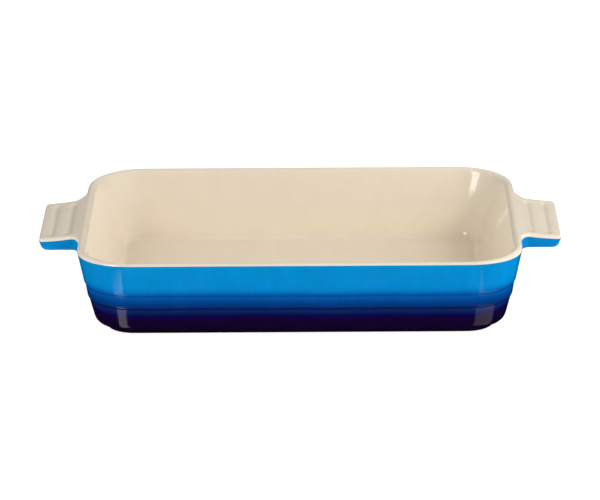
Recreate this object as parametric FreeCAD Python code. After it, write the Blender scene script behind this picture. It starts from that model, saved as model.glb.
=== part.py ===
import FreeCAD, Part
import math
import os

# Rectangular stoneware baking dish with a handle at each end, in millimetres.
# +Z is up and +X runs along the dish, through both handles. The origin is the middle
# of the base, on the surface that the foot ring stands on.

V = FreeCAD.Vector

# ---- overall size ----
HALF_LENGTH = 160.3          # middle to the end of the body, at the sharp corner of the rim
HALF_WIDTH = 106.0           # middle to the long side, in the same way
HEIGHT = 60.0                # surface it stands on to the rim
CORNER_RADIUS = 41.0         # upright corner of the rim, seen from above
GLAZE = 0.5                  # thickness of each coat of glaze

# ---- rim ----
RIM_WIDTH = 6.0              # between its sharp corners
OUTER_LIP_RADIUS = 2.6
INNER_LIP_RADIUS = 3.8

# ---- outside of the wall: three bands, each a small step in from the one above ----
UPPER_SLOPE = 0.195          # inward for each millimetre down
MIDDLE_SLOPE = 0.150
LOWER_SLOPE = 0.252
UPPER_STEP_Z = 34.0          # lower end of the step under the upper band
MIDDLE_STEP_Z = 23.0
STEP_DEPTH = 0.9             # each step runs in and down by this much
BAND_ROLL_RADIUS = 3.0       # rounded lower edge of a band
STEP_HOLLOW_RADIUS = 1.0
UNDERSIDE_Z = 4.2            # where the lower band would meet the underside
UNDERSIDE_ROLL_RADIUS = 6.2

# ---- foot ring ----
FOOT_OUTER_INSET = 20.7      # in from the outline of the rim
FOOT_WIDTH = 5.4
FOOT_TOP_Z = 3.8
FOOT_EDGE_RADIUS = 0.8
RECESS_Z = 2.4               # underside of the base, inside the ring
BARE_CLAY_Z = 0.3            # the glaze stops this far above the surface

# ---- inside ----
FLOOR_Z = 9.5
FLOOR_INSET = 22.0           # from the outline of the rim to the foot of the inner wall
FLOOR_EDGE_RADIUS = 6.0

# ---- handles: distances out from the body, and levels below the rim ----
HANDLE_REACH = 30.5
HANDLE_ROOT_HALF = 39.6      # half width next to the body
HANDLE_TIP_HALF = 38.5
HANDLE_ROOT_FILLET = 7.6     # hollow corner between handle and body, along the handle
ROOT_FILLET_SPREAD = 2.1     # along the body it is this much longer
HANDLE_TIP_RADIUS = 3.6      # its outer corners, seen from above
HANDLE_NOSE_RADIUS = 3.9     # lower edge of the tip
HANDLE_TOP_EDGE = 1.8        # edge radius all round the top
HANDLE_LOWER_EDGE = 2.4
CROWN_LEVEL = 0.2            # top of the handle where it leaves the top of the rim
CROWN_REACH = -2.8
SHOULDER_LEVEL = 3.5         # top of the handle where it levels out
SHOULDER_REACH = 14.0
TIP_LEVEL = 4.9
UNDERSIDE_LEVEL = 13.9
GRIP_HOLLOW = 0.15           # how far the underside arches up for the fingers
GRIP_LENGTH = 22.0
ROOT_SINK = 0.35             # the hollow corners start this far inside the wall
FIRST_TURN = 18.0            # degrees of a hollow corner already turned at the wall
ROOT_REACH = -3.2            # the handle's root is buried in the wall up to here
FULLEST_EDGE = 0.42          # an edge radius is at most this share of the handle's thickness

# ---- where the handle's sections are taken ----
TURNS = (FIRST_TURN, 27, 36, 47, 61, 75, 90)        # degrees of the hollow corner at the root
GRIP_REACHES = (15.5, 19.0, 22.0)
BACK_FROM_TIP = (5.0, 3.8, 2.7, 1.8, 1.1, 0.55, 0.2, 0.0)
CROWN_RUN = 1.0              # first step down from the crown, inside the wall

# ---- grooves across the top of a handle ----
GROOVE_REACHES = (8.3, 20.9)
GROOVE_RADIUS = 3.7
GROOVE_DEPTH = 1.15
GROOVE_HALF_LENGTH = 32.5

# ---- line where the light glaze ends and the blue glaze starts ----
WALL_LINE_LEVEL = 1.3
HANDLE_LINE = (              # (reach, depth below the handle's top)
    (-1.0, 1.0),
    (1.5, 1.7),
    (6.0, 2.0),
    (40.0, 2.0),
)
LIGHT_SPLIT_RIM = (3.0, HEIGHT - 3.0)     # (in from the rim, height), inside the wall
LIGHT_SPLIT_FOOT = (22.0, 6.0)            # the same, inside the floor

CLEAR = 10.0                 # how far the cutting solids run past the dish


def unit(vector):
    return FreeCAD.Vector(vector).normalize()


def rounded_wire(points, place):
    """Closed wire through the points (x, y, radius), with each corner rounded.

    place turns a flat point into a point in space.
    """
    corners = [V(x, y, 0) for x, y, radius in points]
    count = len(points)
    rounds = []
    for i in range(count):
        back = unit(corners[i - 1] - corners[i])
        ahead = unit(corners[(i + 1) % count] - corners[i])
        radius = points[i][2]
        half_angle = back.getAngle(ahead) / 2
        if radius <= 0:
            rounds.append((corners[i], None, corners[i]))
            continue
        run = radius / math.tan(half_angle)
        inwards = unit(back + ahead)
        centre = corners[i] + inwards * (radius / math.sin(half_angle))
        rounds.append((corners[i] + back * run, centre - inwards * radius, corners[i] + ahead * run))
    edges = []
    for i in range(count):
        start, middle, end = rounds[i]
        if middle is not None:
            edges.append(Part.Arc(place(start), place(middle), place(end)).toShape())
        next_start = rounds[(i + 1) % count][0]
        edges.append(Part.LineSegment(place(end), place(next_start)).toShape())
    return Part.Wire(edges)


def moved_in(points, insets):
    """A closed outline with each side moved inwards, and its corner radii to match.

    points run anticlockwise, and insets[i] belongs to the side that starts at points[i].
    """
    corners = [V(x, y, 0) for x, y, radius in points]
    count = len(points)
    ways = [unit(corners[(i + 1) % count] - corners[i]) for i in range(count)]
    result = []
    for i in range(count):
        before = ways[i - 1]
        after = ways[i]
        p = corners[i] + V(-before.y, before.x, 0) * insets[i - 1]
        q = corners[i] + V(-after.y, after.x, 0) * insets[i]
        turn = before.x * after.y - before.y * after.x
        along = ((q.x - p.x) * after.y - (q.y - p.y) * after.x) / turn
        corner = p + before * along
        radius = points[i][2]
        if radius > 0:
            change = max(insets[i - 1], insets[i])
            radius = radius - change if turn > 0 else radius + change
        result.append((corner.x, corner.y, radius))
    return result


def dish_section(inset):
    """Section of the dish without handles, as (distance from a corner's axis, height).

    Every glazed side is moved in by inset. The foot ring stands on bare clay.
    """
    upper_end_z = UPPER_STEP_Z + STEP_DEPTH
    middle_end_z = MIDDLE_STEP_Z + STEP_DEPTH
    upper_end = UPPER_SLOPE * (HEIGHT - upper_end_z)
    middle_start = upper_end + STEP_DEPTH
    middle_end = middle_start + MIDDLE_SLOPE * (UPPER_STEP_Z - middle_end_z)
    lower_start = middle_end + STEP_DEPTH
    lower_end = lower_start + LOWER_SLOPE * (MIDDLE_STEP_Z - UNDERSIDE_Z)
    foot_inner = FOOT_OUTER_INSET + FOOT_WIDTH
    stops = [
        (CORNER_RADIUS, RECESS_Z, 0),
        (foot_inner, RECESS_Z, FOOT_EDGE_RADIUS),
        (foot_inner, 0, FOOT_EDGE_RADIUS),
        (FOOT_OUTER_INSET, 0, FOOT_EDGE_RADIUS),
        (FOOT_OUTER_INSET, FOOT_TOP_Z, FOOT_EDGE_RADIUS),
        (lower_end, UNDERSIDE_Z, UNDERSIDE_ROLL_RADIUS),
        (lower_start, MIDDLE_STEP_Z, STEP_HOLLOW_RADIUS),
        (middle_end, middle_end_z, BAND_ROLL_RADIUS),
        (middle_start, UPPER_STEP_Z, STEP_HOLLOW_RADIUS),
        (upper_end, upper_end_z, BAND_ROLL_RADIUS),
        (0, HEIGHT, OUTER_LIP_RADIUS),
        (RIM_WIDTH, HEIGHT, INNER_LIP_RADIUS),
        (FLOOR_INSET, FLOOR_Z, FLOOR_EDGE_RADIUS),
        (CORNER_RADIUS, FLOOR_Z, 0),
    ]
    section = [(CORNER_RADIUS - in_from_rim, z, radius) for in_from_rim, z, radius in stops]
    insets = [inset] * len(section)
    insets[2] = 0        # underside of the foot ring
    insets[-1] = 0       # axis of the corner
    return moved_in(section, insets)


def swept_round(section, middle_low, middle_high):
    """Solid with this section all round the dish, and a block that fills the middle."""
    face = Part.Face(rounded_wire(section, lambda p: V(p.x, 0, p.y)))
    half_x = HALF_LENGTH - CORNER_RADIUS
    half_y = HALF_WIDTH - CORNER_RADIUS
    height = middle_high - middle_low
    solids = [Part.makeBox(2 * half_x, 2 * half_y, height, V(-half_x, -half_y, middle_low))]
    for quarter, (x, y) in enumerate(((1, 1), (-1, 1), (-1, -1), (1, -1))):
        corner = face.revolve(V(), V(0, 0, 1), 90)
        corner.rotate(V(), V(0, 0, 1), 90 * quarter)
        corner.translate(V(x * half_x, y * half_y, 0))
        solids.append(corner)
        out, along = (half_x, half_y) if quarter % 2 == 0 else (half_y, half_x)
        side = face.extrude(V(0, 2 * along, 0))
        side.translate(V(out, -along, 0))
        side.rotate(V(), V(0, 0, 1), 90 * quarter)
        solids.append(side)
    return solids[0].multiFuse(solids[1:]).removeSplitter().Solids[0]


def dish(inset):
    """The dish without handles, its glazed faces moved in by inset."""
    return swept_round(dish_section(inset), RECESS_Z + inset, FLOOR_Z - inset)


def rounded_end(distance, radius):
    """How far a rounded end has curved away, this far past the start of its curve."""
    distance = min(max(distance, 0), radius)
    return radius - math.sqrt(radius ** 2 - distance ** 2)


def top_level(reach):
    """Level of a handle's top below the rim, before the rounding of the tip."""
    if reach > SHOULDER_REACH:
        share = (reach - SHOULDER_REACH) / (HANDLE_REACH - SHOULDER_REACH)
        return SHOULDER_LEVEL + share * (TIP_LEVEL - SHOULDER_LEVEL)
    share = max(0, (reach - CROWN_REACH) / (SHOULDER_REACH - CROWN_REACH))
    return CROWN_LEVEL + (SHOULDER_LEVEL - CROWN_LEVEL) * (1 - (1 - share) ** 2)


def handle_section(reach, inset, width_reach=None):
    """Section of the handle at +X, parallel to the sloping end wall.

    width_reach is where the width is taken, when it isn't taken here.
    """
    tip = HANDLE_REACH - inset
    fillet = HANDLE_ROOT_FILLET + inset
    at = reach if width_reach is None else width_reach
    half = HANDLE_ROOT_HALF - (HANDLE_ROOT_HALF - HANDLE_TIP_HALF) * at / HANDLE_REACH - inset
    half += rounded_end(fillet - ROOT_SINK - inset - at, fillet) * ROOT_FILLET_SPREAD
    half -= rounded_end(at - (HANDLE_REACH - HANDLE_TIP_RADIUS), HANDLE_TIP_RADIUS - inset)
    top = top_level(reach) + inset
    top += rounded_end(reach - (HANDLE_REACH - HANDLE_TOP_EDGE), HANDLE_TOP_EDGE - inset)
    arch = min(max(reach / GRIP_LENGTH, 0), 1)
    low = UNDERSIDE_LEVEL - GRIP_HOLLOW * math.sin(math.pi * arch) - inset
    low -= rounded_end(reach - (HANDLE_REACH - HANDLE_NOSE_RADIUS), HANDLE_NOSE_RADIUS - inset)
    thickness = low - top
    top_radius = min(HANDLE_TOP_EDGE - inset, FULLEST_EDGE * thickness)
    low_radius = min(HANDLE_LOWER_EDGE - inset, FULLEST_EDGE * thickness)
    points = [
        (-half, low, low_radius),
        (half, low, low_radius),
        (half, top, top_radius),
        (-half, top, top_radius),
    ]
    start = HALF_LENGTH + min(reach, tip)
    return rounded_wire(points, lambda p: V(start - UPPER_SLOPE * p.y, p.x, HEIGHT - p.y))


def handle(inset):
    """The handle at +X with its grooves, its surface moved in by inset."""
    tip = HANDLE_REACH - inset
    fillet = HANDLE_ROOT_FILLET + inset
    reaches = []
    for degrees in TURNS:
        reaches.append(fillet * (1 - math.cos(math.radians(degrees))) - ROOT_SINK - inset)
    first = reaches[0]
    reaches += GRIP_REACHES
    reaches += [tip - back for back in BACK_FROM_TIP]
    grip = Part.makeLoft([handle_section(reach, inset) for reach in reaches], True)
    root_reaches = [ROOT_REACH, CROWN_REACH, CROWN_REACH + CROWN_RUN, first]
    root = Part.makeLoft([handle_section(reach, inset, first) for reach in root_reaches], True, True)
    solid = grip.fuse(root)
    for reach in GROOVE_REACHES:
        level = top_level(reach)
        x = HALF_LENGTH + reach - UPPER_SLOPE * level
        z = HEIGHT - level + GROOVE_RADIUS - GROOVE_DEPTH
        solid = solid.cut(groove(x, z, GROOVE_RADIUS + inset))
    return solid


def groove(x, z, radius):
    """Round-ended bar that cuts a groove across a handle."""
    half = GROOVE_HALF_LENGTH - GROOVE_RADIUS
    bar = Part.makeCylinder(radius, 2 * half, V(x, -half, z), V(0, 1, 0))
    ends = [Part.makeSphere(radius, V(x, y, z)) for y in (-half, half)]
    return bar.multiFuse(ends)


def at_both_ends(solid):
    """The solid and its twin at the other end of the dish."""
    twin = solid.copy()
    twin.rotate(V(), V(0, 0, 1), 180)
    return [solid, twin]


def whole_dish(inset):
    """Dish and handles in one, with the glazed faces moved in by inset."""
    return dish(inset).multiFuse(at_both_ends(handle(inset))).Solids[0]


def light_side():
    """Room that holds all of the light glaze: the inside, the rim and the handles' tops."""
    rim_inset, rim_z = LIGHT_SPLIT_RIM
    foot_inset, foot_z = LIGHT_SPLIT_FOOT
    top_z = HEIGHT + CLEAR
    section = [
        (0, foot_z, 0),
        (CORNER_RADIUS - foot_inset, foot_z, 0),
        (CORNER_RADIUS - rim_inset, rim_z, 0),
        (CORNER_RADIUS - rim_inset, top_z, 0),
        (0, top_z, 0),
    ]
    inside = swept_round(section, foot_z, top_z)
    front = -HALF_WIDTH - CLEAR
    line = [V(0, front, HEIGHT - WALL_LINE_LEVEL)]
    line.append(V(HALF_LENGTH + CROWN_REACH, front, HEIGHT - WALL_LINE_LEVEL))
    for reach, depth in HANDLE_LINE:
        line.append(V(HALF_LENGTH + reach, front, HEIGHT - top_level(reach) - depth))
    line.append(V(line[-1].x, front, top_z))
    line.append(V(0, front, top_z))
    above = Part.Face(Part.makePolygon(line + line[:1])).extrude(V(0, -2 * front, 0))
    return inside.multiFuse(at_both_ends(above))


def save(name, solids):
    """Write one node's solids to its own file."""
    shape = solids[0] if len(solids) == 1 else Part.makeCompound(solids)
    shape.exportStep("parts/" + name + ".step")
    volume = round(shape.Volume / 1000, 1)
    print(name, len(solids), "solid(s),", volume, "cm3, valid:", shape.isValid())


os.makedirs("parts", exist_ok=True)

clay = whole_dish(GLAZE)
glaze = whole_dish(0).cut(clay)
bare_half_x = HALF_LENGTH + HANDLE_REACH
bare_corner = V(-bare_half_x, -HALF_WIDTH, -CLEAR)
bare = Part.makeBox(2 * bare_half_x, 2 * HALF_WIDTH, BARE_CLAY_Z + CLEAR, bare_corner)
glaze = glaze.cut(bare)
light = light_side()
light_glaze = glaze.common(light).Solids
dark_glaze = glaze.cut(light).Solids
dark_glaze.sort(key=lambda solid: solid.BoundBox.ZMax)

save("stoneware_body", [clay])
save("light_inner_glaze", light_glaze)
save("underside_glaze", dark_glaze[:-1])
save("blue_outer_glaze", dark_glaze[-1:])
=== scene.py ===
import math

import bpy
import numpy as np
from mathutils import Matrix, Vector


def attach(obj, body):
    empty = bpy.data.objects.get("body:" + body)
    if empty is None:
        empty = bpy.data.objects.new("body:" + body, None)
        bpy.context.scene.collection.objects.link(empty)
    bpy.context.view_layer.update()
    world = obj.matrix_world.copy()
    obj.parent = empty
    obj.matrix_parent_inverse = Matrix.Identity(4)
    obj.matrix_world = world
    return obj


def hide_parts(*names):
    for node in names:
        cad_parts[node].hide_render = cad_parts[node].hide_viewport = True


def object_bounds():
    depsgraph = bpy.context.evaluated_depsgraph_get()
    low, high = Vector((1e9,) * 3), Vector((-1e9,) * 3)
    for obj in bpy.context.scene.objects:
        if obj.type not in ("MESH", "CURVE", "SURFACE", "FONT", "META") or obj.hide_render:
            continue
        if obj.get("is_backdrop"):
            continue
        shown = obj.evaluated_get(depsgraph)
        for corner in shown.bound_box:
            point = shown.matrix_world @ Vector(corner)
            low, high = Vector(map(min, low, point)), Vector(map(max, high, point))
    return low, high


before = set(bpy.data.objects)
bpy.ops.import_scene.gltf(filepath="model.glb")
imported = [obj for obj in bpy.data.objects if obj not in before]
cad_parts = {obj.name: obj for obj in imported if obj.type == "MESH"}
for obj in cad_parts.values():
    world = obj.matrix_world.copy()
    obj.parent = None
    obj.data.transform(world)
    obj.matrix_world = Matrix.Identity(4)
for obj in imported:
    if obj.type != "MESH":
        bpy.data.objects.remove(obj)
cad_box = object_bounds()

# Every length below is in millimetres, in the frame of the CAD model, until a mesh is made.
MM = 0.001

# ---- the dish ----
HALF_LENGTH = 160.3          # to the rim's sharp corner, without the handles
HALF_WIDTH = 106.0
HEIGHT = 60.0
CORNER_RADIUS = 41.0
GLAZE = 0.5
WALL_SLOPE = 0.195           # of the upper band and of the handles' root

# ---- columns of the mesh, round the plan of the dish ----
HANDLE_COLUMNS = (7.5, 15.0, 22.5, 30.0, 38.0, 45.0, 50.5, 54.5, 57.0)    # across half of a handle's root
END_COLUMNS = (59.5, 62.5, 65.0)                                          # from there to the corner
CORNER_STEPS = 10
SIDE_STEPS = 14

# ---- rows of the mesh: (inset from the rim's outline, height, corner radius, arc steps) ----
INNER_CORNERS = (
    (22.0, 9.5, 6.0, 5),
    (6.0, 60.0, 4.0, 5),
)
INNER_WALL_HOLLOW = 1.2      # the inner wall is this much hollow, so that it flares at the rim
FLOOR_END_SHIFT = 4.5        # the inner wall's foot lies this much further in at the ends
FLOOR_SIDE_SHIFT = -2.5      # and this much at the long sides
LIP_RADIUS = 2.6
LIP_ANGLES = (90, 66, 46, 30, 8, -11)
LINE_ROW = 3                 # the row of the lip that the light glaze ends at
OUTER_CORNERS = (
    (4.895, 34.9, 3.0, 4),
    (5.795, 34.0, 0.7, 2),
    (7.310, 23.9, 3.0, 4),
    (8.210, 23.0, 0.7, 2),
    (12.95, 4.2, 6.2, 6),
    (20.7, 3.8, 0.8, 2),
    (20.7, 0.0, 0.8, 3),
    (26.1, 0.0, 0.8, 3),
    (26.1, 2.4, 0.8, 2),
)
FOOT_CORNER = 6              # outer lower edge of the foot, in OUTER_CORNERS
FLAT_INSET = 33.0            # last row on the floor and under the base, before the flat patch
PATCH_IN = 3.0               # the flat patch starts this much further in
INNER_WALL_HEIGHTS = (18.0, 28.0, 38.0, 47.0, 53.5)
UPPER_BAND_HEIGHTS = (54.5, 50.5, 47.0, 44.0, 40.5)
MIDDLE_BAND_HEIGHTS = (30.5, 28.0)
LOWER_BAND_HEIGHTS = (20.0, 16.0, 12.5)

# ---- handles ----
HANDLE_REACH = 30.25
HANDLE_ROOT_HALF = 39.6
HANDLE_TIP_HALF = 38.5
ROOT_FILLET_REACH = 7.6      # hollow corner between handle and body, along the handle
ROOT_FILLET_SPREAD = 16.0    # the same, along the body
HANDLE_TIP_RADIUS = 3.6
HANDLE_NOSE_RADIUS = 3.9
HANDLE_TOP_EDGE = 1.7
HANDLE_LOWER_EDGE = 2.4
CROWN_REACH = -3.0           # the top starts to fall from the rim here
CROWN_LENGTH = 7.5           # and has come down most of the way after this
CROWN_BEND = 1.3             # how softly it starts to fall
ROOT_LEVEL = 2.6             # where the straight line of the top would meet the body
TIP_LEVEL = 4.9
UNDERSIDE_LEVEL = 13.9
UNDERSIDE_FILLET = 4.0
GRIP_HOLLOW = 0.15
GRIP_LENGTH = 22.0
GLAZE_LINE_DEPTH = 1.9
RING_REACHES = (0.35, 1.2, 2.5, 4.2, 5.8, 7.1, 8.3, 9.5, 10.8, 12.6, 14.6, 16.6, 18.4, 19.7, 20.9, 22.1,
                23.4, 25.3, 27.2, 28.6, 29.5, 30.05, 30.25)
ROOT_LENGTH = 7.0            # the handle's root has settled into the handle after this
ROOT_LINE_DROP = 2.9         # the glaze line runs down by this much beside a handle
ABOVE_LINE_SHARE = 0.35      # the row above the line follows it by this share
DROP_FADE = 0.22             # and each row below it by this much less
SIDE_SHARES = (0.0, 0.06, 0.13, None, 0.34, 0.46, 0.58, 0.68, 0.78, 1.0)    # down a side; None: glaze line
FULLEST_EDGE = 0.45          # an edge radius is at most this share of the handle's thickness
TOP_CORNER_TURN = 35         # degrees round the top edge where the outermost column starts
TOP_CORNER_FALL = 0.18       # how far it has dropped there, as a share of the radius
SECOND_ROW_IN = 0.13         # the next row down, in the same way
SECOND_ROW_FALL = 0.5
LOWER_CORNER = 0.29          # the lowest row's distance from both faces, as a share of the radius
LOWER_ROW_RISE = 1.05        # and the height of the row above it
LEAST_ROW_GAP = 0.3
GROOVE_REACHES = (8.3, 20.9)
GROOVE_DEPTH = 1.35
GROOVE_SHARPNESS = 2.3       # the smaller this is, the narrower the bottom of a groove
GROOVE_HALF_WIDTH = 6.2
GROOVE_HALF_LENGTH = 33.0
GROOVE_END_SHARPNESS = 1.6   # a groove ends this much more steeply than its sides
UPWARD = 0.6                 # the grooves only press in faces that point up at least this much

LIGHT, BLUE, BARE, UNDER = range(4)


# ------------------------------------------------------------------ section of the wall
def arc_points(before, corner, after, radius, steps):
    """Points of the arc that rounds a corner of a flat outline, both ends included."""
    corner = Vector(corner)
    back = (Vector(before) - corner).normalized()
    ahead = (Vector(after) - corner).normalized()
    half = back.angle(ahead) / 2
    centre = corner + (back + ahead).normalized() * (radius / math.sin(half))
    start = corner + back * (radius / math.tan(half)) - centre
    end = corner + ahead * (radius / math.tan(half)) - centre
    turn = math.atan2(start.x * end.y - start.y * end.x, start.dot(end))
    points = []
    for i in range(steps + 1):
        a = turn * i / steps
        spot = Vector((start.x * math.cos(a) - start.y * math.sin(a),
                       start.x * math.sin(a) + start.y * math.cos(a)))
        points.append(tuple(centre + spot))
    return points


def wall_rows():
    """Rows of the section from the floor over the rim to under the base: (inset, height), region below.

    The region of a row is that of the faces between it and the next row.
    """
    lip_corner = (0.0, HEIGHT)
    inner = [(FLAT_INSET, INNER_CORNERS[0][1])]
    inner += arc_points(inner[0], INNER_CORNERS[0][:2], INNER_CORNERS[1][:2], *INNER_CORNERS[0][2:])
    (foot_inset, foot_z), (top_inset, top_z) = INNER_CORNERS[0][:2], INNER_CORNERS[1][:2]
    for z in INNER_WALL_HEIGHTS:
        share = (z - foot_z) / (top_z - foot_z)
        inner.append((foot_inset + share * (top_inset - foot_inset), z))
    inner += arc_points(INNER_CORNERS[0][:2], INNER_CORNERS[1][:2], lip_corner, *INNER_CORNERS[1][2:])
    rows = []
    for inset, z in inner:
        share = (z - foot_z) / (top_z - foot_z)
        rows.append(((inset + 4 * INNER_WALL_HOLLOW * share * (1 - share), z), LIGHT))
    lip_inset = LIP_RADIUS * math.tan(math.radians(90 - LIP_ANGLES[-1]) / 2)
    for degrees in LIP_ANGLES:
        a = math.radians(degrees)
        inset = lip_inset - LIP_RADIUS * math.cos(a)
        spot = (inset, HEIGHT - LIP_RADIUS + LIP_RADIUS * math.sin(a))
        rows.append((spot, LIGHT if degrees > LIP_ANGLES[LINE_ROW] else BLUE))
    bands = {0: UPPER_BAND_HEIGHTS, 2: MIDDLE_BAND_HEIGHTS, 4: LOWER_BAND_HEIGHTS}
    before = lip_corner
    for i, (inset, z, radius, steps) in enumerate(OUTER_CORNERS):
        for height in bands.get(i, ()):
            share = (before[1] - height) / (before[1] - z)
            rows.append(((before[0] + share * (inset - before[0]), height), BLUE))
        after = OUTER_CORNERS[i + 1][:2] if i + 1 < len(OUTER_CORNERS) else (FLAT_INSET, z)
        arc = arc_points(before, (inset, z), after, radius, steps)
        for k, spot in enumerate(arc):
            region = BLUE
            if i > FOOT_CORNER or i == FOOT_CORNER and k > 0:
                region = BARE
            if i > FOOT_CORNER + 1 or i == FOOT_CORNER + 1 and k > 0:
                region = UNDER
            rows.append((spot, region))
        before = (inset, z)
    rows.append(((FLAT_INSET, before[1]), UNDER))
    return rows


# ------------------------------------------------------------------ plan of the dish
def plan_columns():
    """Columns round the dish, anticlockwise from the front of the +X end: (axis x, axis y, way x, way y)."""
    half_x = HALF_LENGTH - CORNER_RADIUS
    half_y = HALF_WIDTH - CORNER_RADIUS
    ends = [0.0] + list(HANDLE_COLUMNS) + list(END_COLUMNS)
    ys = sorted([-y for y in ends[1:]] + ends)
    quarter = [(half_x, y, 1.0, 0.0) for y in ys]
    for i in range(1, CORNER_STEPS):
        a = math.pi / 2 * i / CORNER_STEPS
        quarter.append((half_x, half_y, math.cos(a), math.sin(a)))
    half = quarter + [(half_x * (1 - 2 * i / SIDE_STEPS), half_y, 0.0, 1.0) for i in range(SIDE_STEPS + 1)]
    for i in range(1, CORNER_STEPS):
        a = math.pi / 2 * (1 + i / CORNER_STEPS)
        half.append((-half_x, half_y, math.cos(a), math.sin(a)))
    return half + [tuple(-v for v in column) for column in half]


# ------------------------------------------------------------------ section of a handle
def rounded_end(distance, radius):
    """How far a rounded end has curved away, this far past the start of its curve."""
    distance = min(max(distance, 0), radius)
    return radius - math.sqrt(radius ** 2 - distance ** 2)


def smooth_share(value, low, high):
    """0 up to low and 1 from high on, with a smooth rise between them."""
    share = min(max((value - low) / (high - low), 0), 1)
    return share * share * (3 - 2 * share)


def top_level(reach):
    """Level of a handle's top below the rim, before the rounding of the tip."""
    straight = ROOT_LEVEL + (TIP_LEVEL - ROOT_LEVEL) * reach / HANDLE_REACH
    fall = max(0, (reach - CROWN_REACH) / CROWN_LENGTH)
    return straight * (1 - math.exp(-fall ** CROWN_BEND))


def handle_point(reach, column, row, root_rows):
    """A mesh point of the handle at +X, on the ring at this reach.

    column runs from 0 to the last across the handle, and row from 0 on its top to the last on its
    underside. root_rows holds the rows on the wall, as (how far inside the sloping wall, level).
    """
    last_row = len(SIDE_SHARES) - 1
    columns = [-y for y in reversed(HANDLE_COLUMNS)] + [0.0] + list(HANDLE_COLUMNS)
    settled = smooth_share(reach, 0, ROOT_LENGTH)
    here = reach - root_rows[row][0] * (1 - settled)
    half = HANDLE_ROOT_HALF - (HANDLE_ROOT_HALF - HANDLE_TIP_HALF) * reach / HANDLE_REACH
    half += rounded_end(ROOT_FILLET_REACH - reach, ROOT_FILLET_REACH) * ROOT_FILLET_SPREAD / ROOT_FILLET_REACH
    half -= rounded_end(reach - (HANDLE_REACH - HANDLE_TIP_RADIUS), HANDLE_TIP_RADIUS)
    top = top_level(here) + rounded_end(reach - (HANDLE_REACH - HANDLE_TOP_EDGE), HANDLE_TOP_EDGE)
    arch = min(max(reach / GRIP_LENGTH, 0), 1)
    low = UNDERSIDE_LEVEL - GRIP_HOLLOW * math.sin(math.pi * arch)
    low += (root_rows[-1][1] - UNDERSIDE_LEVEL) * (1 - min(reach / UNDERSIDE_FILLET, 1)) ** 2
    low -= rounded_end(reach - (HANDLE_REACH - HANDLE_NOSE_RADIUS), HANDLE_NOSE_RADIUS)
    edge = HANDLE_TOP_EDGE if row <= LINE_ROW else HANDLE_LOWER_EDGE
    edge = min(edge, FULLEST_EDGE * (low - top))
    side = abs(columns[column]) / HANDLE_COLUMNS[-1]
    across = abs(columns[column]) / HANDLE_COLUMNS[-2] * (half - edge)
    level = top if row == 0 else low
    if side == 1:
        wall = root_rows[row][1]
        share = SIDE_SHARES[row]
        down = top + share * (low - top) if share is not None else top + GLAZE_LINE_DEPTH
        down = min(down, low - LEAST_ROW_GAP * (last_row - row))
        across = half
        if row == 0:
            across = half - edge * (1 - math.sin(math.radians(TOP_CORNER_TURN)))
            down = top + TOP_CORNER_FALL * edge
        if row == 1:
            across, down = half - SECOND_ROW_IN * edge, top + SECOND_ROW_FALL * edge
        if row == 2:
            down = top + edge
        if row == last_row:
            across, down = half - LOWER_CORNER * edge, low - LOWER_CORNER * edge
        if row == last_row - 1:
            down = low - LOWER_ROW_RISE * edge
        level = wall + (down - wall) * settled if row not in (0, last_row) else down
        if row == 0:
            level = down * settled + top * (1 - settled)
    y = math.copysign(across, columns[column]) if columns[column] else 0.0
    return (HALF_LENGTH + here - WALL_SLOPE * level, y, HEIGHT - level)


# ------------------------------------------------------------------ the whole cage
def lip_inset(level):
    """Inset of the outside of the rim and the wall under it, at a level below the rim."""
    wall = WALL_SLOPE * level
    if level >= LIP_RADIUS * (1 - math.sin(math.radians(LIP_ANGLES[-1]))):
        return wall
    centre = LIP_RADIUS * math.tan(math.radians(90 - LIP_ANGLES[-1]) / 2)
    return centre - math.sqrt(LIP_RADIUS ** 2 - (LIP_RADIUS - level) ** 2)


def root_drop(column, row, rows_down):
    """How much lower a row under the rim lies beside a handle, where the light glaze runs down."""
    ax, ay, wx, wy = column
    if wx == 0 or row < LINE_ROW - 1 or row > rows_down:
        return 0
    run = abs(ay) + CORNER_RADIUS * math.atan2(abs(wy), abs(wx))
    corner_end = HALF_WIDTH - CORNER_RADIUS + CORNER_RADIUS * math.pi / 2
    beside = 1 - smooth_share(run, HANDLE_COLUMNS[-1], corner_end)
    share = ABOVE_LINE_SHARE if row < LINE_ROW else 1 - DROP_FADE * (row - LINE_ROW)
    return ROOT_LINE_DROP * beside * max(share, 0)


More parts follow.
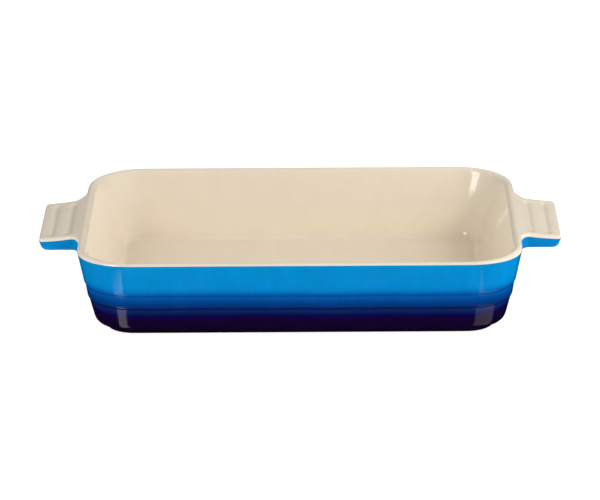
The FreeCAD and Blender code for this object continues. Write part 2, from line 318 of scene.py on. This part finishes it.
def build_cage():
    """Points and quads of the dish's outer surface, with a region for each quad."""
    rows = wall_rows()
    columns = plan_columns()
    points, faces, regions = [], [], []

    def point(x, y, z):
        points.append((x, y, z))
        return len(points) - 1

    lip_row = next(i for i, row in enumerate(rows) if row[1] == BLUE) - LINE_ROW
    last_row = len(SIDE_SHARES) - 1
    rim_inset = INNER_CORNERS[1][0]
    grid = []
    for i, ((inset, z), region) in enumerate(rows):
        line = []
        for column in columns:
            ax, ay, wx, wy = column
            drop = root_drop(column, i - lip_row, last_row)
            shift = FLOOR_END_SHIFT * wx * wx + FLOOR_SIDE_SHIFT * wy * wy if 0 < i < lip_row else 0
            shift *= min(1, max(0, (inset - rim_inset) / (INNER_CORNERS[0][0] - rim_inset)))
            out = CORNER_RADIUS - shift - (lip_inset(HEIGHT - z + drop) if drop > 0 else inset)
            line.append(point(ax + wx * out, ay + wy * out, z - drop))
        grid.append(line)
    root_rows = []
    for i in range(last_row + 1):
        level = HEIGHT - points[grid[lip_row + i][len(END_COLUMNS)]][2]
        inset = rows[lip_row][0][0] if i == 0 else lip_inset(level)
        root_rows.append((inset - WALL_SLOPE * level, level))
    across = 2 * len(HANDLE_COLUMNS)
    first_column = len(END_COLUMNS)
    count = len(columns)
    starts = (first_column, first_column + count // 2)
    for i in range(len(rows) - 1):
        for j in range(count):
            in_rows = lip_row <= i < lip_row + last_row
            if in_rows and any(s <= j < s + across for s in starts):
                continue
            k = (j + 1) % count
            faces.append((grid[i][j], grid[i + 1][j], grid[i + 1][k], grid[i][k]))
            regions.append(rows[i][1])

    for start, sign in zip(starts, (1, -1)):
        edge = [(c, 0) for c in range(across + 1)]
        edge += [(across, r) for r in range(1, last_row + 1)]
        edge += [(c, last_row) for c in range(across - 1, -1, -1)]
        edge += [(0, r) for r in range(last_row - 1, 0, -1)]
        ring = {(c, r): grid[lip_row + r][start + c] for c, r in edge}
        for reach in RING_REACHES:
            ahead = {}
            for c, r in edge:
                x, y, z = handle_point(reach, c, r, root_rows)
                ahead[c, r] = point(sign * x, sign * y, z)
            for i, here in enumerate(edge):
                following = edge[(i + 1) % len(edge)]
                faces.append((ring[here], ahead[here], ahead[following], ring[following]))
                light = max(here[1], following[1]) <= LINE_ROW
                regions.append(LIGHT if light else BLUE)
            ring = ahead
        tip = dict(ring)
        for c in range(1, across):
            top, low = Vector(points[ring[c, 0]]), Vector(points[ring[c, last_row]])
            outer_top, outer_low = points[ring[across, 0]][2], points[ring[across, last_row]][2]
            for r in range(1, last_row):
                share = (outer_top - points[ring[across, r]][2]) / (outer_top - outer_low)
                tip[c, r] = point(*top.lerp(low, share))
        for c in range(across):
            for r in range(last_row):
                faces.append((tip[c, r], tip[c, r + 1], tip[c + 1, r + 1], tip[c + 1, r]))
                regions.append(LIGHT if r < LINE_ROW else BLUE)

    for row, region in ((0, LIGHT), (len(rows) - 1, UNDER)):
        flat_patch(point, faces, regions, grid[row], columns, rows[row][0][1], region, row == 0)
    return points, faces, regions


def flat_patch(point, faces, regions, outline, columns, z, region, upward):
    """Fill the flat inside of a row with a square grid, between the row and a sharp rectangle."""
    half_x = HALF_LENGTH - FLAT_INSET - PATCH_IN
    half_y = HALF_WIDTH - FLAT_INSET - PATCH_IN
    axis_x = HALF_LENGTH - CORNER_RADIUS
    axis_y = HALF_WIDTH - CORNER_RADIUS
    rim = []
    for ax, ay, wx, wy in columns:
        turned = math.atan2(abs(wy), abs(wx)) / (math.pi / 2)
        x = half_x if turned <= 0.5 else half_x + (axis_x - half_x) * (2 * turned - 1)
        y = half_y if turned >= 0.5 else axis_y + (half_y - axis_y) * 2 * turned
        if wy == 0:
            y = abs(ay)
        if wx == 0:
            x = abs(ax)
        rim.append((math.copysign(x, ax if wx == 0 else wx), math.copysign(y, ay if wy == 0 else wy)))
    rim = [(round(x, 6), round(y, 6)) for x, y in rim]
    spots = {}
    for x, y in rim:
        spots[x, y] = point(x, y, z)
    count = len(columns)
    quads = []
    for j in range(count):
        k = (j + 1) % count
        quads.append((outline[j], outline[k], spots[rim[k]], spots[rim[j]]))
    xs = sorted({x for x, y in rim})
    ys = sorted({y for x, y in rim})
    for x in xs:
        for y in ys:
            if (x, y) not in spots:
                spots[x, y] = point(x, y, z)
    for x0, x1 in zip(xs, xs[1:]):
        for y0, y1 in zip(ys, ys[1:]):
            quads.append((spots[x0, y0], spots[x1, y0], spots[x1, y1], spots[x0, y1]))
    for quad in quads:
        faces.append(quad if upward else quad[::-1])
        regions.append(region)


def master_surface():
    """The smoothed outer surface: points, quads, region of each quad and normal of each point."""
    points, faces, regions = build_cage()
    mesh = bpy.data.meshes.new("cage")
    mesh.from_pydata(points, [], faces)
    mesh.polygons.foreach_set("material_index", regions)
    mesh.validate()
    cage = bpy.data.objects.new("cage", mesh)
    bpy.context.scene.collection.objects.link(cage)
    smooth = cage.modifiers.new("smooth", "SUBSURF")
    smooth.levels = 1
    smooth.boundary_smooth = "PRESERVE_CORNERS"
    depsgraph = bpy.context.evaluated_depsgraph_get()
    done = bpy.data.meshes.new_from_object(cage.evaluated_get(depsgraph))
    bpy.data.objects.remove(cage)
    count = len(done.vertices)
    spots = np.empty(count * 3)
    done.vertices.foreach_get("co", spots)
    spots = spots.reshape(-1, 3)
    for i in range(count):
        spots[i, 2] -= groove_depth(spots[i]) if done.vertices[i].normal.z > UPWARD else 0
    done.vertices.foreach_set("co", spots.ravel())
    done.update()
    normals = np.array([v.normal[:] for v in done.vertices])
    quads = np.array([p.vertices[:] for p in done.polygons])
    areas = np.array([p.material_index for p in done.polygons])
    bpy.data.meshes.remove(done)
    return spots, quads, areas, normals


def groove_depth(spot):
    """Depth of the finger grooves at a point on the top of a handle."""
    level = HEIGHT - spot[2]
    reach = abs(spot[0]) - HALF_LENGTH + WALL_SLOPE * level
    past_end = max(0, abs(spot[1]) - (GROOVE_HALF_LENGTH - GROOVE_SHARPNESS))
    depth = 0
    for centre in GROOVE_REACHES:
        away = math.hypot(reach - centre, GROOVE_END_SHARPNESS * past_end)
        if away < GROOVE_HALF_WIDTH:
            fade = (1 - (away / GROOVE_HALF_WIDTH) ** 2) ** 2
            depth += GROOVE_DEPTH * fade / (1 + (away / GROOVE_SHARPNESS) ** 2)
    return depth


def make_coat(name, master, region, node, material):
    """One coat of glaze: its patch of the outer surface, and the same patch moved in by its thickness."""
    spots, quads, areas, normals = master
    outer = quads[areas == region]
    used = np.unique(outer)
    place = {v: i for i, v in enumerate(used)}
    count = len(used)
    points = np.concatenate([spots[used], spots[used] - normals[used] * GLAZE]) * MM
    front = [[place[v] for v in quad] for quad in outer]
    back = [[v + count for v in quad[::-1]] for quad in front]
    seen = dict.fromkeys((a, b) for quad in front for a, b in zip(quad, quad[1:] + quad[:1]))
    ledge = [[b, a, a + count, b + count] for a, b in seen if (b, a) not in seen]
    loop_normals = [normals[used[v]] for quad in front for v in quad]
    loop_normals += [-normals[used[v - count]] for quad in back for v in quad]
    loop_normals += [Vector((0, 0, 0))] * (4 * len(ledge))
    return make_piece(name, points, front + back + ledge, loop_normals, node, material)


def make_piece(name, points, faces, loop_normals, node, material):
    """One visible piece, which stands for a CAD node."""
    mesh = bpy.data.meshes.new(name)
    mesh.from_pydata([tuple(p) for p in points], [], faces)
    mesh.update()
    mesh.shade_smooth()
    mesh.materials.append(material)
    mesh.normals_split_custom_set([tuple(n) for n in loop_normals])
    piece = bpy.data.objects.new(name, mesh)
    bpy.context.scene.collection.objects.link(piece)
    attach(piece, "root")
    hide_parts(node)
    return piece


def make_clay(name, master, node, material):
    """The fired clay: the outer surface moved in under the glaze, and bare on the foot."""
    spots, quads, areas, normals = master
    bare = areas == BARE
    glazed_used = np.unique(quads[~bare])
    bare_used = np.unique(quads[bare])
    glazed_place = {v: i for i, v in enumerate(glazed_used)}
    bare_place = {v: i + len(glazed_used) for i, v in enumerate(bare_used)}
    points = np.concatenate([spots[glazed_used] - normals[glazed_used] * GLAZE, spots[bare_used]]) * MM
    faces = [[glazed_place[v] for v in quad] for quad in quads[~bare]]
    faces += [[bare_place[v] for v in quad] for quad in quads[bare]]
    loop_normals = [normals[v] for quad in quads[~bare] for v in quad]
    loop_normals += [normals[v] for quad in quads[bare] for v in quad]
    seen = {(a, b) for quad in quads[bare].tolist() for a, b in zip(quad, quad[1:] + quad[:1])}
    ledge = []
    for a, b in seen:
        if (b, a) not in seen:
            ledge.append([bare_place[b], bare_place[a], glazed_place[a], glazed_place[b]])
    loop_normals += [Vector((0, 0, 0))] * (4 * len(ledge))
    return make_piece(name, points, faces + ledge, loop_normals, node, material)


# ------------------------------------------------------------------ camera and studio
CAMERA_TARGET = Vector((-0.2 * MM, 0, 31.45 * MM))
CAMERA_DISTANCE = 2.506
CAMERA_AZIMUTH = 0.383
CAMERA_ELEVATION = 20.467
CAMERA_ROLL = -0.465
LENS = 204.0


def make_camera():
    data = bpy.data.cameras.new("camera")
    data.lens = LENS
    data.sensor_width = 36.0
    data.clip_start = 0.05
    data.clip_end = 50.0
    camera = bpy.data.objects.new("camera", data)
    bpy.context.scene.collection.objects.link(camera)
    a = math.radians(CAMERA_AZIMUTH)
    e = math.radians(CAMERA_ELEVATION)
    back = Vector((math.sin(a) * math.cos(e), -math.cos(a) * math.cos(e), math.sin(e)))
    look = (-back).to_track_quat("-Z", "Y").to_matrix().to_4x4()
    roll = Matrix.Rotation(math.radians(CAMERA_ROLL), 4, "Z")
    camera.matrix_world = Matrix.Translation(CAMERA_TARGET + back * CAMERA_DISTANCE) @ look @ roll
    bpy.context.scene.camera = camera


def area_light(name, place, target, size, power):
    """A rectangular light at a place, facing a target."""
    data = bpy.data.lights.new(name, "AREA")
    data.shape = "RECTANGLE"
    data.size, data.size_y = size
    data.energy = power
    light = bpy.data.objects.new(name, data)
    bpy.context.scene.collection.objects.link(light)
    light.location = place
    light.rotation_euler = (Vector(target) - Vector(place)).to_track_quat("-Z", "Y").to_euler()
    light.visible_camera = False
    return light


def direction(azimuth, elevation):
    """Unit vector towards a place round the dish. Azimuth 0 is in front, and 90 on the right."""
    a, e = math.radians(azimuth), math.radians(elevation)
    return Vector((math.sin(a) * math.cos(e), -math.cos(a) * math.cos(e), math.sin(e)))


def card(name, azimuth, elevation, distance, size, radiance):
    """A soft white panel that only shows as a highlight."""
    power = radiance * math.pi * size[0] * size[1]
    panel = area_light(name, direction(azimuth, elevation) * distance, (0, 0, 0), size, power)
    panel.visible_diffuse = False
    return panel


SOFT_LIGHTS = (              # name, azimuth, elevation, distance, size, watts
    ("front_right", 45, 35, 1.6, 0.7, 7.9),
    ("front_left", -45, 35, 1.6, 0.7, 5.9),
    ("behind", 180, 25, 1.6, 0.7, 7.3),
    ("right", 90, 18, 1.6, 0.7, 3.1),
    ("right_near", 90, 30, 0.7, 0.4, 1.1),
    ("left", -90, 18, 1.6, 0.7, 2.2),
)
CARDS = (                    # name, azimuth, elevation, distance, size, radiance
    ("left_card", -48, 33, 1.3, (0.50, 0.80), 7),
    ("low_left_card", -41, -45, 1.0, (0.30, 0.40), 1.5),
    ("low_right_card", 60, -45, 1.0, (0.7, 0.34), 0.6),
    ("low_right_core", 60, -45, 1.0, (0.32, 0.26), 0.5),
)
LIGHT_AIM = (0, 0, 0.03)
WORLD_STRENGTH = 0.36
FLOOR_REACH = 30.0
FLOOR_GREY = 0.35
FLOOR_GLOW = 0.9             # the floor glows, so that it stays white round the dish


def make_studio():
    scene = bpy.context.scene
    scene.view_settings.view_transform = "Standard"
    world = bpy.data.worlds.new("studio")
    world.use_nodes = True
    background = world.node_tree.nodes["Background"]
    background.inputs["Color"].default_value = (1, 1, 1, 1)
    background.inputs["Strength"].default_value = WORLD_STRENGTH
    world.cycles_visibility.glossy = False
    scene.world = world
    for name, azimuth, elevation, distance, size, power in SOFT_LIGHTS:
        soft = area_light(name, direction(azimuth, elevation) * distance, LIGHT_AIM, (size, size), power)
        soft.visible_glossy = False
    for settings in CARDS:
        card(*settings)
    mesh = bpy.data.meshes.new("floor")
    corners = [(x * FLOOR_REACH, y * FLOOR_REACH, 0) for x, y in ((-1, -1), (1, -1), (1, 1), (-1, 1))]
    mesh.from_pydata(corners, [], [(0, 1, 2, 3)])
    floor = bpy.data.objects.new("floor", mesh)
    scene.collection.objects.link(floor)
    material = bpy.data.materials.new("floor")
    material.use_nodes = True
    shader = material.node_tree.nodes["Principled BSDF"]
    shader.inputs["Base Color"].default_value = (FLOOR_GREY, FLOOR_GREY, FLOOR_GREY, 1)
    shader.inputs["Roughness"].default_value = 0.9
    shader.inputs["Specular IOR Level"].default_value = 0.0
    shader.inputs["Emission Color"].default_value = (1, 1, 1, 1)
    shader.inputs["Emission Strength"].default_value = FLOOR_GLOW
    mesh.materials.append(material)
    floor.visible_glossy = False
    floor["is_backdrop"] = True


# ------------------------------------------------------------------ materials
class Graph:
    """A material and the few kinds of node that the glazes and the clay are made from."""

    def __init__(self, name):
        self.material = bpy.data.materials.new(name)
        self.material.use_nodes = True
        self.nodes = self.material.node_tree.nodes
        self.links = self.material.node_tree.links
        self.shader = self.nodes["Principled BSDF"]
        self.place = self.nodes.new("ShaderNodeTexCoord").outputs["Object"]
        split = self.nodes.new("ShaderNodeSeparateXYZ")
        self.links.new(self.place, split.inputs["Vector"])
        self.height = split.outputs["Z"]

    def feed(self, socket, value):
        if isinstance(value, bpy.types.NodeSocket):
            self.links.new(value, socket)
        else:
            socket.default_value = value

    def calc(self, operation, a, b):
        node = self.nodes.new("ShaderNodeMath")
        node.operation = operation
        self.feed(node.inputs[0], a)
        self.feed(node.inputs[1], b)
        return node.outputs["Value"]

    def remap(self, value, low, high, to_low, to_high):
        node = self.nodes.new("ShaderNodeMapRange")
        names = ("Value", "From Min", "From Max", "To Min", "To Max")
        for name, given in zip(names, (value, low, high, to_low, to_high)):
            self.feed(node.inputs[name], given)
        return node.outputs["Result"]

    def noise(self, size, detail=2.0, squash=(1, 1, 1)):
        """Soft noise with features of this size in millimetres, stretched where squash is under 1."""
        scaled = self.nodes.new("ShaderNodeVectorMath")
        scaled.operation = "MULTIPLY"
        self.links.new(self.place, scaled.inputs[0])
        scaled.inputs[1].default_value = tuple(part / (size * MM) for part in squash)
        node = self.nodes.new("ShaderNodeTexNoise")
        node.inputs["Scale"].default_value = 1.0
        node.inputs["Detail"].default_value = detail
        self.links.new(scaled.outputs["Vector"], node.inputs["Vector"])
        return node.outputs["Fac"]

    def spots(self, spacing, radius):
        """1 inside scattered round spots and 0 outside, with sizes in millimetres."""
        node = self.nodes.new("ShaderNodeTexVoronoi")
        node.inputs["Scale"].default_value = 1 / (spacing * MM)
        self.links.new(self.place, node.inputs["Vector"])
        share = radius / spacing
        return self.remap(node.outputs["Distance"], 0.4 * share, share, 1.0, 0.0)

    def ramp(self, value, stops):
        node = self.nodes.new("ShaderNodeValToRGB")
        elements = node.color_ramp.elements
        while len(elements) > 1:
            elements.remove(elements[-1])
        for i, (at, colour) in enumerate(stops):
            element = elements[0] if i == 0 else elements.new(at)
            element.position = at
            element.color = (*colour, 1)
        self.feed(node.inputs["Fac"], value)
        return node.outputs["Color"]

    def blend(self, share, a, b):
        node = self.nodes.new("ShaderNodeMix")
        node.data_type = "RGBA"
        self.feed(node.inputs["Factor"], share)
        self.feed(node.inputs[6], a)
        self.feed(node.inputs[7], b)
        return node.outputs[2]

    def shade(self, colour, factor):
        """The colour made lighter or darker by a factor."""
        node = self.nodes.new("ShaderNodeVectorMath")
        node.operation = "SCALE"
        self.feed(node.inputs[0], colour)
        self.feed(node.inputs["Scale"], factor)
        return node.outputs["Vector"]

    def bump(self, relief, depth, below=None):
        """Relief of 0 to 1 as a bump of this depth in millimetres."""
        node = self.nodes.new("ShaderNodeBump")
        node.inputs["Strength"].default_value = 1.0
        node.inputs["Distance"].default_value = depth * MM
        self.links.new(relief, node.inputs["Height"])
        if below is not None:
            self.links.new(below, node.inputs["Normal"])
        return node.outputs["Normal"]

    def finish(self, colour, roughness, normal):
        self.feed(self.shader.inputs["Base Color"], colour)
        self.feed(self.shader.inputs["Roughness"], roughness)
        self.feed(self.shader.inputs["Normal"], normal)
        return self.material


# Height in millimetres and colour of the blue glaze, azure at the top and indigo at the foot. Into each step
# of the wall (34.1 and 23.3) the stops dip darker: painted shade under the overhanging band, over the glaze's
# own change of colour. The lighter stops just below them (32.4 and 21.6) are a painted reflection on the top
# of the next band.
BLUE_STOPS = (
    (0.0, (0.006, 0.0015, 0.017)),
    (11.0, (0.006, 0.001, 0.020)),
    (14.6, (0.006, 0.001, 0.032)),
    (18.0, (0.005, 0.001, 0.065)),
    (20.6, (0.001, 0.016, 0.093)),
    (21.6, (0.001, 0.024, 0.105)),
    (23.3, (0.007, 0.003, 0.082)),
    (24.5, (0.002, 0.014, 0.117)),
    (25.4, (0.0, 0.035, 0.160)),
    (27.6, (0.0, 0.040, 0.207)),
    (30.8, (0.0, 0.067, 0.30)),
    (32.4, (0.001, 0.090, 0.325)),
    (34.1, (0.0, 0.067, 0.295)),
    (35.2, (0.0, 0.093, 0.359)),
    (38.5, (0.0, 0.19, 0.526)),
    (41.5, (0.0, 0.228, 0.58)),
    (56.0, (0.0, 0.24, 0.57)),
    (58.0, (0.0, 0.27, 0.61)),
)
PEEL_SIZE = 5.0              # wavelength of the slow waves in a fired glaze
PEEL_DEPTH = 0.016
RIPPLE_SIZE = 1.3
RIPPLE_DEPTH = 0.0015
PINHOLE_SPACING = 17.0
PINHOLE_RADIUS = 0.22
PINHOLE_DEPTH = 0.05


def glaze_surface(graph):
    """Roughness and bump that every glaze has: slow waves, a fine ripple and a few pinholes."""
    roughness = graph.remap(graph.noise(9.0), 0.3, 0.7, 0.06, 0.12)
    waves = graph.bump(graph.noise(PEEL_SIZE, 1.0), PEEL_DEPTH)
    ripple = graph.bump(graph.noise(RIPPLE_SIZE, 1.0), RIPPLE_DEPTH, waves)
    pinholes = graph.spots(PINHOLE_SPACING, PINHOLE_RADIUS)
    pits = graph.bump(graph.calc("SUBTRACT", 1.0, pinholes), PINHOLE_DEPTH, ripple)
    return roughness, pits, pinholes


def blue_glaze():
    """Sprayed glaze: azure at the top and indigo at the foot, grainy where the two overlap."""
    graph = Graph("blue_glaze")
    grain = graph.remap(graph.noise(0.8), 0.2, 0.8, -0.5 * MM, 0.5 * MM)
    wander = graph.remap(graph.noise(38.0), 0.25, 0.75, -0.5 * MM, 0.5 * MM)
    height = graph.calc("ADD", graph.calc("ADD", graph.height, grain), wander)
    share = graph.calc("DIVIDE", height, HEIGHT * MM)
    # the ramp carries painted shade in the two steps of the wall and a painted reflection just below each
    colour = graph.ramp(share, [(z / HEIGHT, stop) for z, stop in BLUE_STOPS])
    runs = graph.remap(graph.noise(6.0, 2.0, (1, 1, 0.35)), 0.25, 0.75, 0.95, 1.05)
    cloud = graph.remap(graph.noise(26.0), 0.3, 0.7, 0.97, 1.03)
    colour = graph.shade(colour, graph.calc("MULTIPLY", runs, cloud))
    roughness, normal, pinholes = glaze_surface(graph)
    # the pinholes are painted darker: painted shade in the pits
    colour = graph.shade(colour, graph.calc("SUBTRACT", 1.0, graph.calc("MULTIPLY", pinholes, 0.5)))
    return graph.finish(colour, roughness, normal)


def light_glaze():
    """Cream glaze over the buff clay: faint clouds, a warmer tone low down, and a few fine specks."""
    graph = Graph("light_glaze")
    low = graph.remap(graph.height, 0.009, 0.045, 1.0, 0.0)
    colour = graph.blend(low, (0.87, 0.77, 0.62, 1), (0.86, 0.75, 0.59, 1))
    cloud = graph.remap(graph.noise(14.0), 0.3, 0.7, 0.985, 1.015)
    grain = graph.remap(graph.noise(1.1), 0.3, 0.7, 0.993, 1.007)
    colour = graph.shade(colour, graph.calc("MULTIPLY", cloud, grain))
    specks = graph.calc("MULTIPLY", graph.spots(12.0, 0.3), 0.22)
    colour = graph.blend(specks, colour, (0.42, 0.30, 0.19, 1))
    roughness, normal, _ = glaze_surface(graph)
    return graph.finish(colour, roughness, normal)


def underside_glaze():
    """The indigo end of the outside glaze, thinner and less even under the base."""
    graph = Graph("underside_glaze")
    patches = graph.remap(graph.noise(18.0, 4.0), 0.35, 0.65, 0.0, 1.0)
    colour = graph.blend(patches, (0.007, 0.002, 0.024, 1), (0.012, 0.006, 0.045, 1))
    grain = graph.remap(graph.noise(0.9), 0.3, 0.7, 0.85, 1.15)
    colour = graph.shade(colour, grain)
    roughness, normal, _ = glaze_surface(graph)
    return graph.finish(colour, graph.calc("ADD", roughness, 0.06), normal)


def fired_clay():
    """Buff stoneware, sponged smooth: sandy grain, darker iron specks and pale grog."""
    graph = Graph("fired_clay")
    cloud = graph.noise(12.0)
    colour = graph.blend(cloud, (0.56, 0.46, 0.34, 1), (0.68, 0.58, 0.46, 1))
    grain = graph.noise(0.45, 3.0)
    colour = graph.shade(colour, graph.remap(grain, 0.25, 0.75, 0.86, 1.12))
    colour = graph.blend(graph.calc("MULTIPLY", graph.spots(3.1, 0.35), 0.7), colour, (0.20, 0.12, 0.07, 1))
    colour = graph.blend(graph.calc("MULTIPLY", graph.spots(2.3, 0.4), 0.5), colour, (0.85, 0.79, 0.70, 1))
    roughness = graph.remap(grain, 0.2, 0.8, 0.82, 0.96)
    normal = graph.bump(grain, 0.09)
    normal = graph.bump(graph.noise(7.0), 0.12, normal)
    return graph.finish(colour, roughness, normal)


make_camera()
make_studio()
master = master_surface()
make_coat("light_coat", master, LIGHT, "light_inner_glaze", light_glaze())
make_coat("blue_coat", master, BLUE, "blue_outer_glaze", blue_glaze())
make_coat("underside_coat", master, UNDER, "underside_glaze", underside_glaze())
make_clay("clay_body", master, "stoneware_body", fired_clay())

boxes = {"cad": cad_box, "visual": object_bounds()}
{name: [list(corner) for corner in box] for name, box in boxes.items()}
